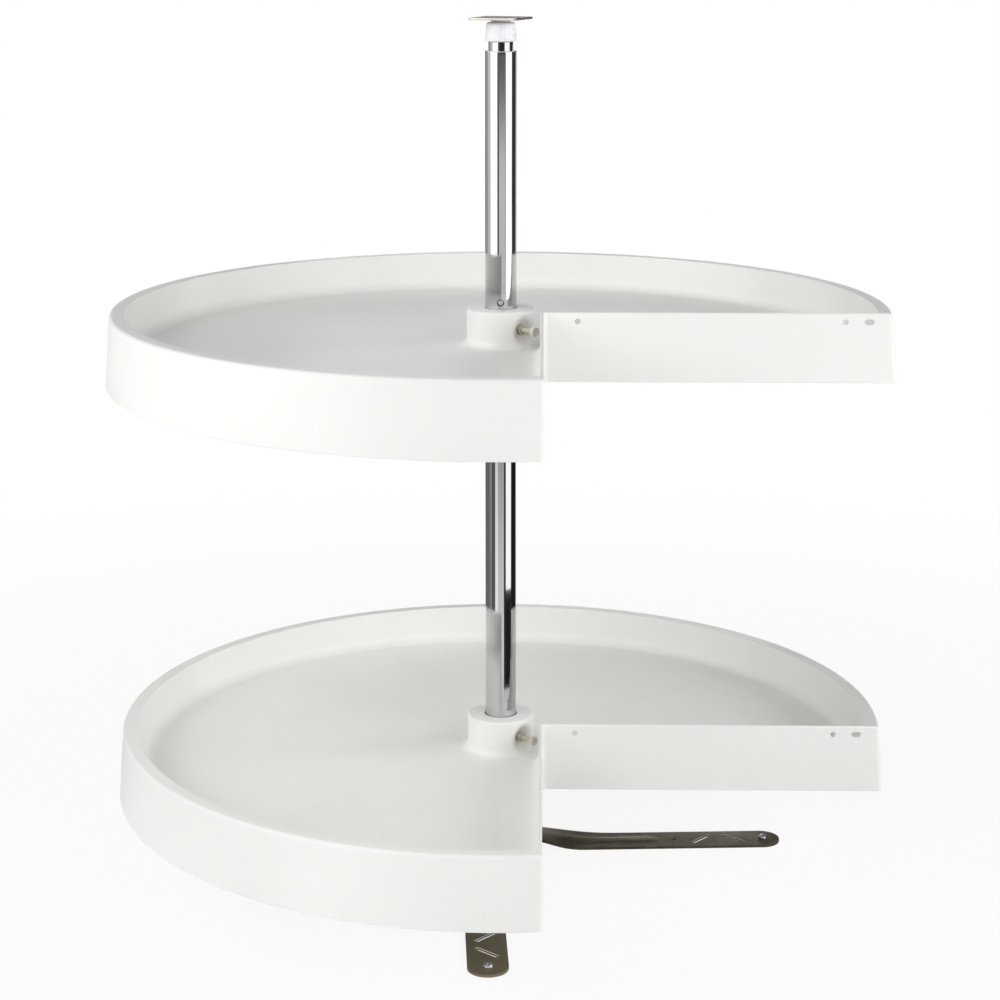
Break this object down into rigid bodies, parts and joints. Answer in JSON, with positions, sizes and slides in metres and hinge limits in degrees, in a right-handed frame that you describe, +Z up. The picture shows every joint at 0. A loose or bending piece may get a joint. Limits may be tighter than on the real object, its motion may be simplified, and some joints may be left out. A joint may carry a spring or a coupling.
{
  "type": "corner carousel",
  "caption": "Corner cabinet carousel: round trays with a quarter cut out, on a turning telescopic post between a floor bracket and a top plate.",
  "frame": {"origin": "on the post's axis, in the plane of the cabinet's floor on which the base bracket is screwed", "axes": "+Z up along the post; +X and -Y along the notch walls, so that the quarter cut out of the trays faces +X and -Y"},
  "size_m": [0.7, 0.7, 0.7862],
  "materials": {
    "tray_plastic": "off-white moulded plastic, satin",
    "bush_plastic": "white moulded plastic, satin",
    "bearing_plastic": "natural acetal, satin",
    "washer_plastic": "natural nylon, smooth",
    "tube_chrome": "mirror-bright chrome plate on steel",
    "bracket_nickel": "dark nickel plate on steel strip, faintly brushed",
    "plate_nickel": "nickel plate on sheet steel",
    "screw_steel": "bright zinc plate",
    "tray_screw_steel": "zinc plate",
    "lock_screw_steel": "blackened hexagon-socket screw",
    "spindle_steel": "turned steel"
  },
  "bodies": {
    "base": {"base_bracket": "bracket_nickel", "base_screw_right": "screw_steel", "base_screw_front": "screw_steel", "pivot_spindle": "spindle_steel", "base_thrust_washer": "washer_plastic"},
    "carousel": {"bottom_bearing": "bearing_plastic", "outer_tube": "tube_chrome", "height_lock_screw": "lock_screw_steel", "outer_tube_guide": "washer_plastic", "lower_tray": "tray_plastic", "lower_tray_screw": "tray_screw_steel", "lower_tray_nut": "tray_screw_steel", "upper_tray": "tray_plastic", "upper_tray_screw": "tray_screw_steel", "upper_tray_nut": "tray_screw_steel"},
    "extension": {"inner_tube": "tube_chrome", "inner_tube_guide": "washer_plastic", "top_bush": "bush_plastic"},
    "top_mount": {"top_plate": "plate_nickel", "top_pivot_pin": "spindle_steel", "top_thrust_washer": "washer_plastic"}
  },
  "joints": [
    {"name": "post_spin", "type": "hinge", "parent": "base", "child": "carousel", "pos_m": [0, 0, 0], "axis": [0, 0, 1], "continuous": true},
    {"name": "post_extension", "type": "slide", "parent": "carousel", "child": "extension", "axis": [0, 0, 1], "range_m": [-0.008, 0.09]},
    {"name": "plate_swivel", "type": "hinge", "parent": "extension", "child": "top_mount", "pos_m": [0, 0, 0.759], "axis": [0, 0, 1], "continuous": true}
  ],
  "couplings": [
    {"joint": "plate_swivel", "follows": "post_spin", "ratio": -1}
  ]
}
